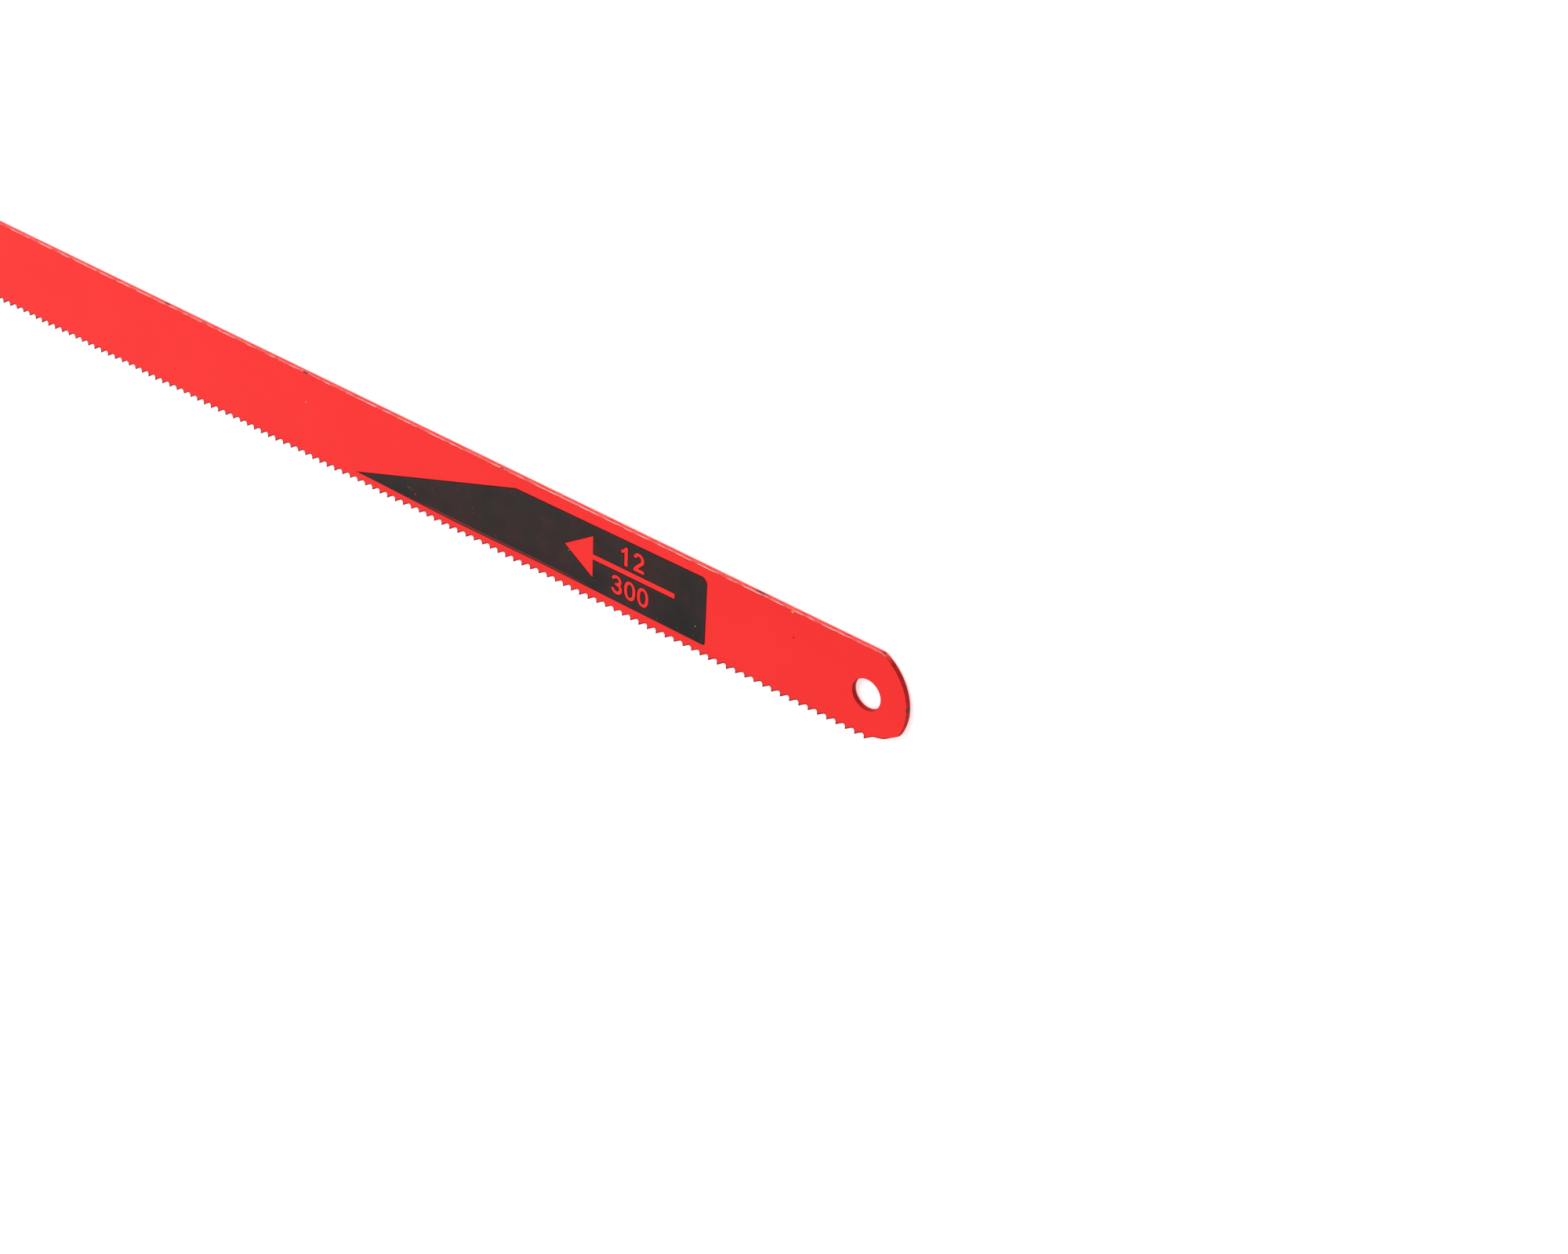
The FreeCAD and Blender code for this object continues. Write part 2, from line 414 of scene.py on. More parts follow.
def blade_mesh():
    """The whole blade: two faces, rounded corners and walls."""
    loops = [outline(), pin_hole(hole_x), pin_hole(-hole_x)]
    rings = []
    for step in range(rounding_steps + 1):
        turn = math.pi / 2 * step / rounding_steps
        rings.append((1 - math.sin(turn), 1 - math.cos(turn)))

    flat_loops = []
    for loop in loops:
        points = [point for point, _ in loop]
        flat_loops.append([point + move * size for (point, size), move in zip(loop, inset_moves(points))])
    flat_points = [point for loop in flat_loops for point in loop]
    edge_count = len(flat_points)
    flat_points += [point for point, _ in inner_rings(flat_loops, [rim_width])]
    flat_points += face_rows()
    made, triangles, sources = triangulated(flat_points, flat_loops)

    vertices = []
    rims = []
    faces = []
    walls = []
    face_vertex = {}
    for top in (True, False):
        for index, (point, source) in enumerate(zip(made, sources)):
            place = flat_points[source[0]] if source else point
            z = (top_z if top else bottom_z) + sway(place)
            face_vertex.update({(top, own): len(vertices) for own in source})
            face_vertex[top, "made", index] = len(vertices)
            vertices.append((place.x, place.y, z))
            rims.append(1.0 if not source or min(source) < edge_count else 0.0)
        for triangle in triangles:
            corners = [face_vertex[top, "made", index] for index in triangle]
            faces.append(corners if top else corners[::-1])

    start = 0
    for loop in loops:
        points = [point for point, _ in loop]
        moves = inset_moves(points)
        count = len(loop)
        columns = []
        for i, ((point, size), move) in enumerate(zip(loop, moves)):
            column = [face_vertex[True, start + i]]
            for inset, drop in rings[1:]:
                place = point + move * (size * inset)
                column.append(len(vertices))
                vertices.append((place.x, place.y, top_z - size * drop + sway(place)))
            for inset, drop in rings[:0:-1]:
                place = point + move * (size * inset)
                column.append(len(vertices))
                vertices.append((place.x, place.y, bottom_z + size * drop + sway(place)))
            column.append(face_vertex[False, start + i])
            columns.append(column)
        for i in range(count):
            here, after = columns[i], columns[(i + 1) % count]
            toothed = min(loop[i][1], loop[(i + 1) % count][1]) < plain_rounding
            for ring in range(len(here) - 1):
                walls.append(([here[ring], here[ring + 1], after[ring + 1], after[ring]], toothed))
        start += count

    mesh = bpy.data.meshes.new("hacksaw_blade")
    mesh.from_pydata(vertices, [], faces + [wall for wall, _ in walls])
    slots = [0] * len(faces) + [2 if toothed else 1 for _, toothed in walls]
    mesh.polygons.foreach_set("material_index", slots)
    mesh.polygons.foreach_set("use_smooth", [True] * len(slots))
    rims += [1.0] * (len(vertices) - len(rims))
    mesh.attributes.new("rim", "FLOAT", "POINT").data.foreach_set("value", rims)
    mesh.update()
    mark_sharp_edges(mesh, len(faces))
    return mesh


def mark_sharp_edges(mesh, face_count):
    """Shades the faces by themselves, so that the narrow roundings don't tint them."""
    mesh.set_sharp_from_angle(angle=sharp_angle)
    face_edges = {}
    for polygon in mesh.polygons:
        for key in polygon.edge_keys:
            kinds = face_edges.setdefault(key, set())
            kinds.add(polygon.index < face_count)
    for edge in mesh.edges:
        if len(face_edges[edge.key]) == 2:
            edge.use_edge_sharp = True


def blade_piece():
    piece = bpy.data.objects.new("hacksaw_blade", blade_mesh())
    bpy.context.scene.collection.objects.link(piece)
    for material in (red_enamel(), worn_edge_with_painted_light(), set_edge()):
        piece.data.materials.append(material)
    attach(piece, "root")
    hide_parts("blade")
    return piece


def on_mark(along, height):
    """A place on the printed face: back from the handle end's pin hole, and up from the tooth tips."""
    return Vector((hole_x - along, tip_y + height))


def field_outline():
    """The field's outline, anticlockwise from its tip."""
    tip = on_mark(mark_tip, mark_tip_height)
    low = on_mark(mark_low, mark_low_height)
    bottom = on_mark(mark_bottom, mark_bottom_height)
    lower_corner = on_mark(mark_end, mark_bottom_height)
    upper_corner = on_mark(mark_end, mark_end_top)
    shoulder = on_mark(mark_shoulder, mark_shoulder_height)
    corners = [tip, low, bottom, lower_corner, upper_corner, shoulder, tip]
    corner_radii = [mark_lower_corner_radius, mark_corner_radius, mark_shoulder_radius]
    return rounded_path(corners, [mark_soft_bend, mark_soft_bend] + corner_radii, film_step)


def arrow_outline():
    """The arrow that gives the cutting direction, with its shaft."""
    def place(along, height):
        return on_mark(along, arrow_height + height + (arrow_tip - along) * arrow_rise)
    return [place(arrow_tip, 0), place(arrow_head_back, -arrow_half_head),
            place(arrow_head_back, -arrow_half_shaft), place(arrow_end, -arrow_half_shaft),
            place(arrow_end, arrow_half_shaft), place(arrow_head_back, arrow_half_shaft),
            place(arrow_head_back, arrow_half_head)]


def oval(x, y, half_width, half_height, start, end, squareness=2.0):
    """Points of part of an oval in millimetres, with its angles in degrees."""
    count = max(4, round(abs(end - start) / oval_point_angle))
    points = []
    for i in range(count + 1):
        angle = math.radians(start + (end - start) * i / count)
        across, up = math.cos(angle), math.sin(angle)
        reach = (abs(across) ** squareness + abs(up) ** squareness) ** (-1 / squareness)
        points.append((x + half_width * across * reach, y + half_height * up * reach))
    return points


def digit_shapes(digit):
    """Outlines of one bold plain digit, in millimetres from the lower left of its place."""
    if digit == "0":
        return [oval(0.95, 1.31, 0.91, 1.34, 0, 350, 2.3), oval(0.95, 1.31, 0.45, 0.93, 0, 350, 2.3)]
    if digit == "1":
        return [[(0.74, 0), (1.24, 0), (1.24, 2.64), (0.84, 2.64), (0.66, 2.34), (0.44, 2.16), (0.18, 2.05),
                 (0.18, 1.60), (0.48, 1.71), (0.74, 1.88)]]
    if digit == "2":
        outer_bowl = oval(0.93, 1.80, 0.86, 0.87, -28, 172)
        inner_bowl = oval(0.92, 1.80, 0.39, 0.45, 172, -34)
        foot = [(0.02, 0), (1.80, 0), (1.80, 0.46), (0.78, 0.46), (1.10, 0.80), (1.44, 1.10)]
        return [foot + outer_bowl + inner_bowl + [(0.98, 1.28), (0.50, 0.84), (0.18, 0.44)]]
    outer_lower = oval(0.91, 0.77, 0.89, 0.81, 186, 403)
    outer_upper = oval(0.88, 1.91, 0.82, 0.74, -34, 172)
    inner_upper = oval(0.87, 1.90, 0.36, 0.35, 170, -62)
    inner_lower = oval(0.91, 0.79, 0.42, 0.40, 62, -172)
    return [outer_lower + outer_upper + inner_upper + [(0.66, 1.55), (0.66, 1.17)] + inner_lower]


def facing(points, anticlockwise):
    """A closed loop in small steps that runs the given way round."""
    area = sum(here.cross(after) for here, after in zip(points, points[1:] + points[:1]))
    if (area > 0) != anticlockwise:
        points = points[::-1]
    ends = zip(points, points[1:] + points[:1])
    return [step for here, after in ends for step in line(here, after, film_step)]


def number_loops(digits, along, height):
    """A plain number, left bare in the field. Its left end and its foot are at this place."""
    loops = []
    for place, digit in enumerate(digits):
        start = on_mark(along - place * digit_step, height)
        for index, shape in enumerate(digit_shapes(digit)):
            points = [start + Vector(point) * MM for point in shape]
            loops.append(facing(points, index > 0))
    return loops


def printed_mark():
    """The black mark: a pointed field of ink with a raised edge, where an arrow and numbers are left bare."""
    loops = [facing(field_outline(), True), facing(arrow_outline(), False)]
    loops += number_loops("12", upper_number_place, upper_number_height)
    loops += number_loops("300", lower_number_place, lower_number_height)
    points = [point for loop in loops for point in loop]
    heights = [0.0] * len(points)
    rims = [1.0] * len(points)
    ring_rims = {inset * MM: rim for inset, rim in film_rings}
    for point, inset in inner_rings(loops, list(ring_rims)):
        points.append(point)
        rims.append(ring_rims[inset])
        heights.append(ridge_height if ring_rims[inset] else film_height)
    made, triangles, sources = triangulated(points, loops)
    mesh = bpy.data.meshes.new("printed_mark")
    own = [source[0] if source else None for source in sources]
    tops = [film_height if index is None else heights[index] for index in own]
    mesh.from_pydata([(point.x, point.y, top_z + top) for point, top in zip(made, tops)], [], triangles)
    mesh.polygons.foreach_set("use_smooth", [True] * len(mesh.polygons))
    values = [0.0 if index is None else rims[index] for index in own]
    mesh.attributes.new("rim", "FLOAT", "POINT").data.foreach_set("value", values)
    mesh.update()
    piece = bpy.data.objects.new("printed_mark", mesh)
    bpy.context.scene.collection.objects.link(piece)
    mesh.materials.append(black_ink())
    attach(piece, "root")
    return piece


def stuck_flecks():
    """Tiny flecks stuck in the paint: low, irregular domes."""
    vertices = []
    faces = []
    colours = []
    raised = [(fleck, 0.0) for fleck in flecks] + [(fleck, film_height) for fleck in film_flecks]
    for index, ((along, height, length, breadth, colour), lift) in enumerate(raised):
        centre = on_mark(along * MM, height * MM)
        start = len(vertices)
        for ring_size, ring_top in ((1.0, 0.0), fleck_shoulder):
            for side in range(fleck_sides):
                angle = 2 * math.pi * side / fleck_sides + index
                uneven = ring_size * (1 + fleck_unevenness * math.sin(5.3 * side + 2.1 * index))
                x = centre.x + length / 2 * MM * uneven * math.cos(angle)
                y = centre.y + breadth / 2 * MM * uneven * math.sin(angle)
                vertices.append((x, y, top_z + lift + ring_top * fleck_height))
        vertices.append((centre.x, centre.y, top_z + lift + fleck_height))
        top = start + 2 * fleck_sides
        for side in range(fleck_sides):
            low = start + side
            low_after = start + (side + 1) % fleck_sides
            high, high_after = low + fleck_sides, low_after + fleck_sides
            faces.append((low, low_after, high_after, high))
            faces.append((high, high_after, top))
        colours += fleck_colours[colour] * (2 * fleck_sides + 1)
    mesh = bpy.data.meshes.new("stuck_flecks")
    mesh.from_pydata(vertices, [], faces)
    mesh.polygons.foreach_set("use_smooth", [True] * len(faces))
    mesh.attributes.new("fleck_colour", "FLOAT_COLOR", "POINT").data.foreach_set("color", colours)
    mesh.update()
    piece = bpy.data.objects.new("stuck_flecks", mesh)
    bpy.context.scene.collection.objects.link(piece)
    mesh.materials.append(fleck_paint())
    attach(piece, "root")
    return piece


def node(tree, kind, inputs=None, **settings):
    """A shader node with its settings, and its inputs set or linked by name or number."""
    made = tree.nodes.new(kind)
    for name, value in settings.items():
        setattr(made, name, value)
    for socket, value in (inputs or {}).items():
        if isinstance(value, bpy.types.NodeSocket):
            tree.links.new(value, made.inputs[socket])
        else:
            made.inputs[socket].default_value = value
    return made


def mixed(tree, share, first, second):
    """A colour between two others."""
    return node(tree, "ShaderNodeMix", {0: share, 6: first, 7: second}, data_type="RGBA").outputs[2]


def number(tree, operation, *values):
    return node(tree, "ShaderNodeMath", dict(enumerate(values)), operation=operation).outputs[0]


def product(tree, first, second):
    return number(tree, "MULTIPLY", first, second)


def ramp(tree, value, start, end):
    """From 0 to 1 as the value goes from start to end, smoothly."""
    made = node(tree, "ShaderNodeMapRange", {"Value": value, "From Min": start, "From Max": end},
                interpolation_type="SMOOTHSTEP")
    return made.outputs["Result"]


def noise(tree, place, scale, detail):
    return node(tree, "ShaderNodeTexNoise", {"Vector": place, "Scale": scale, "Detail": detail}).outputs[0]


def places_in_mm(tree):
    """The place on the blade in millimetres."""
    place = node(tree, "ShaderNodeTexCoord").outputs["Object"]
    return node(tree, "ShaderNodeVectorMath", {0: place, "Scale": 1 / MM}, operation="SCALE").outputs[0]


def new_material(name):
    material = bpy.data.materials.new(name)
    material.use_nodes = True
    return material, material.node_tree, material.node_tree.nodes["Principled BSDF"]


def link(tree, output, shader, socket):
    tree.links.new(output, shader.inputs[socket])


def effect(name, inputs, outputs):
    """A shader node group, with its named inputs and their usual values, and its named outputs."""
    group = bpy.data.node_groups.new(name, "ShaderNodeTree")
    for socket, value in inputs.items():
        kind = "NodeSocketFloat" if isinstance(value, float) else "NodeSocketVector"
        made = group.interface.new_socket(socket, in_out="INPUT", socket_type=kind)
        made.default_value = value
    for socket in outputs:
        group.interface.new_socket(socket, in_out="OUTPUT", socket_type="NodeSocketFloat")
    return group, group.nodes.new("NodeGroupInput").outputs, group.nodes.new("NodeGroupOutput").inputs


def placed(tree, group, inputs):
    """An effect in a material, with this material's own values."""
    return node(tree, "ShaderNodeGroup", inputs, node_tree=group).outputs


def coat_effect():
    """Sprayed enamel: slow changes of tone, and the height of its fine orange peel."""
    group, given, result = effect("sprayed_coat", {"Place": (0, 0, 0), "Tone Scale": 0.12, "Peel Scale": 3.0},
                                  ["Tone", "Peel"])
    slow = noise(group, given["Place"], given["Tone Scale"], 3.0)
    group.links.new(ramp(group, slow, 0.32, 0.68), result["Tone"])
    group.links.new(noise(group, given["Place"], given["Peel Scale"], 2.0), result["Peel"])
    return group


def grain_effect():
    """Streaks along the blade, left by rolling, shearing and printing."""
    group, given, result = effect("lengthwise_grain", {"Place": (0, 0, 0), "Stretch": 10.0, "Fineness": 4.0,
                                                       "Softness": 0.15}, ["Streaks", "Fine Streaks"])
    shares = []
    for fineness, detail in ((1.0, 3.0), (4.0, 2.0)):
        across = product(group, given["Fineness"], fineness)
        along = number(group, "DIVIDE", across, given["Stretch"])
        scale = node(group, "ShaderNodeCombineXYZ", {0: along, 1: across, 2: across}).outputs[0]
        spot = node(group, "ShaderNodeVectorMath", {0: given["Place"], 1: scale}, operation="MULTIPLY")
        patches = noise(group, spot.outputs[0], 1.0, detail)
        low = number(group, "SUBTRACT", 0.5, given["Softness"])
        high = number(group, "ADD", 0.5, given["Softness"])
        shares.append(ramp(group, patches, low, high))
    for share, name in zip(shares, ("Streaks", "Fine Streaks")):
        group.links.new(share, result[name])
    return group


def chip_effect():
    """One ragged chip: 1 where the coat is gone."""
    group, given, result = effect("chip", {"Place": (0, 0, 0), "Centre": (0, 0, 0), "Reach": (1, 1, 1),
                                           "Raggedness": 1.7}, ["Chip"])
    off = node(group, "ShaderNodeVectorMath", {0: given["Place"], 1: given["Centre"]}, operation="SUBTRACT")
    share = node(group, "ShaderNodeVectorMath", {0: off.outputs[0], 1: given["Reach"]}, operation="DIVIDE")
    reach = node(group, "ShaderNodeVectorMath", {0: share.outputs[0]}, operation="LENGTH").outputs["Value"]
    rough = noise(group, given["Place"], 6.0, 4.0)
    uneven = product(group, number(group, "SUBTRACT", rough, 0.5), given["Raggedness"])
    group.links.new(ramp(group, number(group, "ADD", reach, uneven), 1.05, 0.8), result["Chip"])
    return group


def dust_effect():
    """Specks of dust, sparse and uneven: 1 on a speck."""
    group, given, result = effect("dust", {"Place": (0, 0, 0), "Spacing": 1.5, "Size": 0.06, "Share": 0.3},
                                  ["Dust"])
    scale = number(group, "DIVIDE", 1.0, given["Spacing"])
    cells = node(group, "ShaderNodeTexVoronoi", {"Vector": given["Place"], "Scale": scale})
    chance = node(group, "ShaderNodeSeparateColor", {0: cells.outputs["Color"]}).outputs[0]
    kept = number(group, "LESS_THAN", chance, given["Share"])
    small = number(group, "LESS_THAN", cells.outputs["Distance"], given["Size"])
    group.links.new(product(group, kept, small), result["Dust"])
    return group


def height_band(tree, value, centre, half_width):
    """1 where the value is at the centre, down to 0 at the half width."""
    off = number(tree, "ABSOLUTE", number(tree, "SUBTRACT", value, centre))
    return ramp(tree, off, half_width, 0.35 * half_width)


def all_chips(tree, place):
    """1 on any of the blade's chips."""
    result = None
    for along, up, height, length, breadth in chips:
        centre = (hole_x / MM - along, tip_y / MM + up, height)
        inputs = {"Place": place, "Centre": centre, "Reach": (length, breadth, breadth)}
        chip = placed(tree, effects["chip"], inputs)["Chip"]
        result = chip if result is None else number(tree, "MAXIMUM", result, chip)
    return result


def bumped(tree, height, distance):
    """The normal over this height, given the distance that a height of 1 stands for."""
    return node(tree, "ShaderNodeBump", {"Height": height, "Distance": distance, "Strength": 1.0}).outputs[0]


def red_enamel():
    """Satin red enamel: faint orange peel and tone, a thin dark rim along the teeth, and a few chips."""
    material, tree, shader = new_material("red_enamel")
    place = places_in_mm(tree)
    _, y, _ = node(tree, "ShaderNodeSeparateXYZ", {0: place}).outputs
    coat = placed(tree, effects["sprayed_coat"], {"Place": place, "Tone Scale": 0.10, "Peel Scale": 2.6})
    grain = placed(tree, effects["lengthwise_grain"], {"Place": place, "Stretch": 30.0, "Fineness": 1.2})
    rim = node(tree, "ShaderNodeAttribute", attribute_name="rim").outputs["Fac"]

    colour = mixed(tree, coat["Tone"], enamel_darker, enamel_lighter)
    colour = mixed(tree, product(tree, grain["Streaks"], 0.25), colour, enamel_streak)
    along_teeth = ramp(tree, y, tip_y / MM + 2.2, tip_y / MM + 1.6)
    uneven = ramp(tree, coat["Peel"], 0.1, 0.5)
    tooth_rim = product(tree, product(tree, ramp(tree, rim, 0.2, 0.7), along_teeth), uneven)
    colour = mixed(tree, tooth_rim, colour, tooth_rim_colour)
    along_back = ramp(tree, y, back_y / MM - 0.6, back_y / MM - 0.3)
    back_rim = product(tree, ramp(tree, rim, 0.15, 0.7), product(tree, along_back, 0.55))
    colour = mixed(tree, back_rim, colour, back_rim_colour)
    dust = placed(tree, effects["dust"], {"Place": place, "Spacing": 4.0, "Size": 0.022, "Share": 0.22})
    colour = mixed(tree, product(tree, dust["Dust"], 0.55), colour, enamel_dust)
    chipped = all_chips(tree, place)
    colour = mixed(tree, chipped, colour, scale_colour)
    link(tree, colour, shader, "Base Color")

    roughness = number(tree, "ADD", 0.36, product(tree, coat["Peel"], 0.10))
    link(tree, roughness, shader, "Roughness")
    relief = number(tree, "SUBTRACT", coat["Peel"], product(tree, chipped, 4.0))
    link(tree, bumped(tree, relief, enamel_relief), shader, "Normal")
    shader.inputs["Specular IOR Level"].default_value = 0.25
    return material


def worn_edge_with_painted_light():
    """Chipped, streaked enamel; painted highlight on the back arris, painted shade on the ends and holes."""
    material, tree, shader = new_material("worn_edge_with_painted_light")
    place = places_in_mm(tree)
    _, y, z = node(tree, "ShaderNodeSeparateXYZ", {0: place}).outputs
    coat = placed(tree, effects["sprayed_coat"], {"Place": place, "Tone Scale": 0.5, "Peel Scale": 6.0})
    grain = placed(tree, effects["lengthwise_grain"],
                   {"Place": place, "Stretch": 14.0, "Fineness": 5.0, "Softness": 0.12})
    colour = mixed(tree, grain["Streaks"], back_darker, back_lighter)
    pale_lines = product(tree, grain["Fine Streaks"], 0.35)
    colour = mixed(tree, pale_lines, colour, back_pale_streak)

    wall_top = top_z / MM
    # Painted highlight: broken pale lines along the back edge's arris, where the enamel is also partly rubbed
    # pale
    broken = placed(tree, effects["lengthwise_grain"],
                    {"Place": place, "Stretch": 11.0, "Fineness": 9.0, "Softness": 0.09})["Streaks"]
    arris_highlight_line = product(tree, ramp(tree, z, wall_top - 0.10, wall_top - 0.03),
                        number(tree, "ADD", 0.12, product(tree, broken, 0.88)))
    lower_highlight_line = product(tree, height_band(tree, z, wall_top - 0.29, 0.06),
                        product(tree, broken, 0.35))
    on_back = ramp(tree, y, back_y / MM - 0.25, back_y / MM - 0.12)
    painted_highlight_share = product(tree, number(tree, "MAXIMUM", arris_highlight_line, lower_highlight_line), on_back)
    colour = mixed(tree, painted_highlight_share, colour, arris_painted_highlight)

    # Painted shade: the ends and the walls of the pin holes are darkened
    painted_end_shade = number(tree, "SUBTRACT", 1.0, ramp(tree, y, back_y / MM - 0.9, back_y / MM - 0.1))
    shaded_end_colour = mixed(tree, grain["Streaks"], shaded_end_darker, shaded_end_lighter)
    colour = mixed(tree, painted_end_shade, colour, shaded_end_colour)
    chipped = all_chips(tree, place)
    colour = mixed(tree, chipped, colour, scale_colour)
    link(tree, colour, shader, "Base Color")

    roughness = number(tree, "ADD", 0.42, product(tree, grain["Streaks"], 0.18))
    link(tree, roughness, shader, "Roughness")
    relief = number(tree, "ADD", grain["Streaks"], product(tree, coat["Peel"], 0.5))
    relief = number(tree, "SUBTRACT", relief, chipped)
    link(tree, bumped(tree, relief, wall_relief), shader, "Normal")
    shader.inputs["Specular IOR Level"].default_value = 0.12
    return material


def set_edge():
    """Dark enamel over the cut walls of the teeth, darker towards the tips."""
    material, tree, shader = new_material("set_edge")
    place = places_in_mm(tree)
    _, y, _ = node(tree, "ShaderNodeSeparateXYZ", {0: place}).outputs
    coat = placed(tree, effects["sprayed_coat"], {"Place": place, "Tone Scale": 1.6, "Peel Scale": 7.0})
    grain = placed(tree, effects["lengthwise_grain"],
                   {"Place": place, "Stretch": 0.3, "Fineness": 6.0, "Softness": 0.2})
    colour = mixed(tree, coat["Tone"], tooth_darker, tooth_lighter)
    colour = mixed(tree, product(tree, grain["Streaks"], 0.4), colour, tooth_streak)
    at_tip = ramp(tree, y, tip_y / MM + 0.35, tip_y / MM)
    colour = mixed(tree, product(tree, at_tip, 0.8), colour, tooth_tip_colour)
    link(tree, colour, shader, "Base Color")
    roughness = number(tree, "ADD", 0.34, product(tree, grain["Streaks"], 0.2))
    link(tree, roughness, shader, "Roughness")
    link(tree, bumped(tree, coat["Peel"], tooth_relief), shader, "Normal")
    shader.inputs["Specular IOR Level"].default_value = 0.2
    return material


def black_ink():
    """Black ink, brownish and thin in places, painted shade and highlight on its raised edge, a low maroon
    line.
    """
    material, tree, shader = new_material("black_ink")
    place = places_in_mm(tree)
    x, y, _ = node(tree, "ShaderNodeSeparateXYZ", {0: place}).outputs
    along = number(tree, "SUBTRACT", hole_x / MM, x)
    up = number(tree, "SUBTRACT", y, tip_y / MM)
    coat = placed(tree, effects["sprayed_coat"], {"Place": place, "Tone Scale": 0.45, "Peel Scale": 4.0})
    clouds = placed(tree, effects["sprayed_coat"], {"Place": place, "Tone Scale": 0.16, "Peel Scale": 1.1})
    grain = placed(tree, effects["lengthwise_grain"],
                   {"Place": place, "Stretch": 14.0, "Fineness": 1.6, "Softness": 0.2})
    rim = node(tree, "ShaderNodeAttribute", attribute_name="rim").outputs["Fac"]

    colour = mixed(tree, clouds["Tone"], ink_black, ink_brown)
    colour = mixed(tree, product(tree, grain["Streaks"], 0.5), colour, ink_streak)
    greenish = product(tree, ramp(tree, along, 68.0, 78.0), 0.7)
    colour = mixed(tree, greenish, colour, ink_greenish)
    bluish = product(tree, ramp(tree, along, 34.0, 27.0), ramp(tree, up, 7.0, 4.0))
    colour = mixed(tree, product(tree, bluish, 0.8), colour, ink_bluish)
    mottle = product(tree, coat["Tone"], 0.55)
    colour = mixed(tree, mottle, colour, ink_mottle)
    thin = product(tree, product(tree, coat["Peel"], coat["Peel"]), clouds["Tone"])
    colour = mixed(tree, product(tree, thin, 0.3), colour, ink_thin)
    line_height = number(tree, "ADD", 1.74, product(tree, ramp(tree, along, 66.0, 51.0), 0.20))
    line_reach = product(tree, ramp(tree, along, 75.0, 68.0), ramp(tree, along, 42.0, 50.0))
    maroon = product(tree, height_band(tree, up, line_height, 0.19), line_reach)
    colour = mixed(tree, product(tree, maroon, 0.95), colour, ink_maroon_line)
    dust = placed(tree, effects["dust"], {"Place": place, "Spacing": 1.9, "Size": 0.045, "Share": 0.16})
    colour = mixed(tree, product(tree, dust["Dust"], 0.8), colour, ink_dust)
    red_dust = placed(tree, effects["dust"], {"Place": place, "Spacing": 2.7, "Size": 0.04, "Share": 0.12})
    colour = mixed(tree, product(tree, red_dust["Dust"], 0.8), colour, ink_red_dust)
    # Painted highlight on the ridge of the raised edge, then painted shade darkening the edge outside it
    ridge_highlight_line = product(tree, height_band(tree, rim, 0.14, 0.14), 0.4)
    colour = mixed(tree, ridge_highlight_line, colour, ink_ridge_painted_highlight)
    colour = mixed(tree, ramp(tree, rim, 0.28, 0.45), colour, ink_edge_painted_shade)
    colour = mixed(tree, ramp(tree, rim, 0.78, 0.92), colour, ink_outer_edge)
    link(tree, colour, shader, "Base Color")

    roughness = number(tree, "ADD", 0.30, product(tree, coat["Peel"], 0.14))
    link(tree, roughness, shader, "Roughness")
    relief = number(tree, "ADD", coat["Peel"], product(tree, grain["Streaks"], 0.5))
    link(tree, bumped(tree, relief, ink_relief), shader, "Normal")
    shader.inputs["Specular IOR Level"].default_value = 0.13
    return material


def fleck_paint():
    """Dull dust and paint crumbs, each in its own colour."""
    material, tree, shader = new_material("fleck_paint")
    place = places_in_mm(tree)
    own = node(tree, "ShaderNodeAttribute", attribute_name="fleck_colour").outputs["Color"]
    coat = placed(tree, effects["sprayed_coat"], {"Place": place, "Tone Scale": 6.0, "Peel Scale": 14.0})
    colour = mixed(tree, product(tree, coat["Tone"], 0.15), own, fleck_dirt)
    link(tree, colour, shader, "Base Color")
    shader.inputs["Roughness"].default_value = 0.6
    shader.inputs["Specular IOR Level"].default_value = 0.15
    link(tree, bumped(tree, coat["Peel"], fleck_relief), shader, "Normal")
    return material


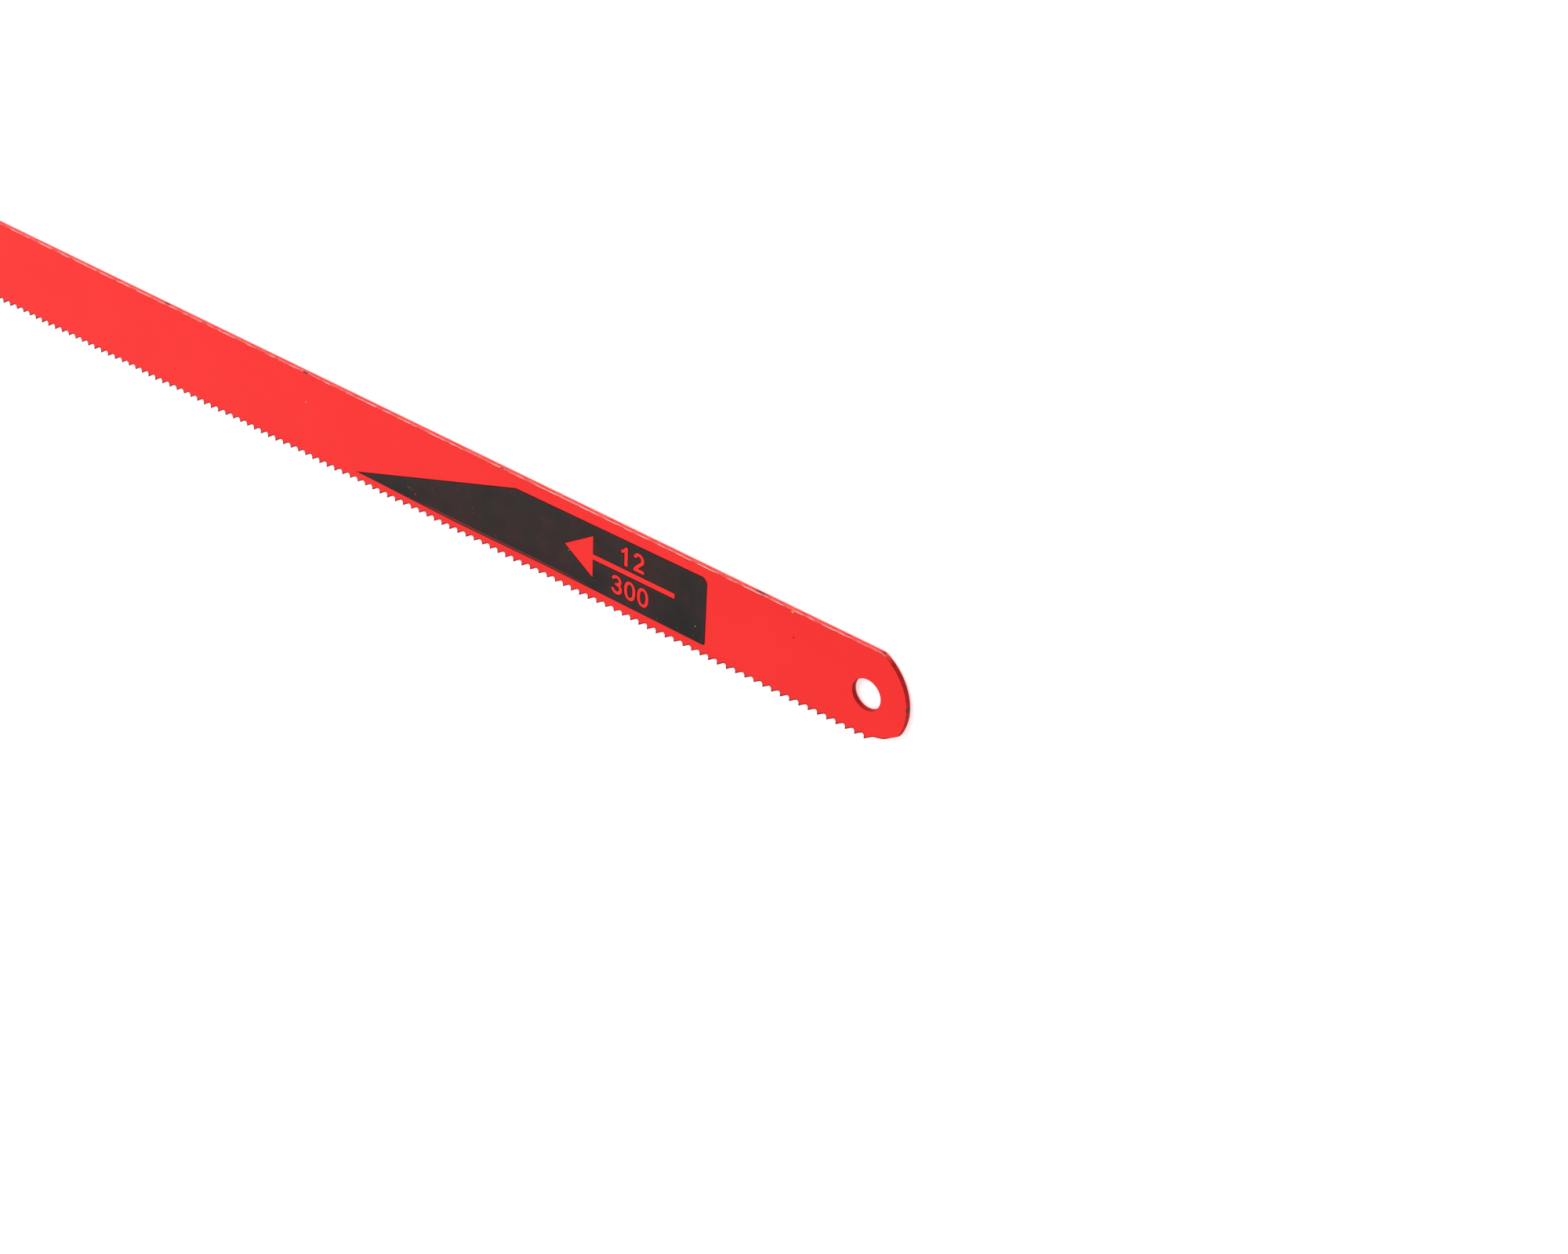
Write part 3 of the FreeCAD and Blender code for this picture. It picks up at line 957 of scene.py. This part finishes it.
def pale_floor():
    """A plain pale floor, far larger than the camera sees."""
    corners = [(floor_half * x, floor_half * y, 0) for x, y in ((-1, -1), (1, -1), (1, 1), (-1, 1))]
    mesh = bpy.data.meshes.new("pale_floor")
    mesh.from_pydata(corners, [], [(0, 1, 2, 3)])
    floor = bpy.data.objects.new("pale_floor", mesh)
    bpy.context.scene.collection.objects.link(floor)
    material, _, shader = new_material("pale_floor")
    shader.inputs["Base Color"].default_value = (0.97, 0.97, 0.97, 1)
    shader.inputs["Roughness"].default_value = 0.9
    shader.inputs["Specular IOR Level"].default_value = 0.0
    shader.inputs["Emission Color"].default_value = (1, 1, 1, 1)
    shader.inputs["Emission Strength"].default_value = floor_glow
    mesh.materials.append(material)


def softbox(name, place, aim, size, watts):
    """A square studio light."""
    light = bpy.data.lights.new(name, "AREA")
    light.shape = "SQUARE"
    light.size = size
    light.energy = watts
    lamp = bpy.data.objects.new(name, light)
    lamp.location = place
    lamp.rotation_euler = (Vector(aim) - Vector(place)).to_track_quat("-Z", "Y").to_euler()
    bpy.context.scene.collection.objects.link(lamp)


def studio_light():
    """Soft white light all round, and a softbox behind the back edge, towards the end without the mark."""
    world = bpy.data.worlds.new("studio")
    world.use_nodes = True
    background = world.node_tree.nodes["Background"]
    background.inputs["Color"].default_value = (1, 1, 1, 1)
    background.inputs["Strength"].default_value = world_brightness
    bpy.context.scene.world = world
    softbox("key_softbox", key_place, key_aim, key_size, key_watts)
    bpy.context.scene.view_settings.view_transform = "Standard"


def camera():
    """The photograph's camera."""
    forward = (camera_aim - camera_eye).normalized()
    right = forward.cross(Vector((0, 0, 1))).normalized()
    level = Matrix((right, right.cross(forward), -forward)).transposed().to_4x4()
    data = bpy.data.cameras.new("camera")
    data.lens = camera_lens
    data.sensor_width = camera_sensor
    data.clip_start = 0.01
    seen = bpy.data.objects.new("camera", data)
    seen.matrix_world = Matrix.Translation(camera_eye) @ level @ Matrix.Rotation(camera_roll, 4, "Z")
    bpy.context.scene.collection.objects.link(seen)
    bpy.context.scene.camera = seen


effects = {group.name: group for group in (coat_effect(), grain_effect(), chip_effect(), dust_effect())}
camera()
studio_light()
pale_floor()
blade_piece()
printed_mark()
stuck_flecks()
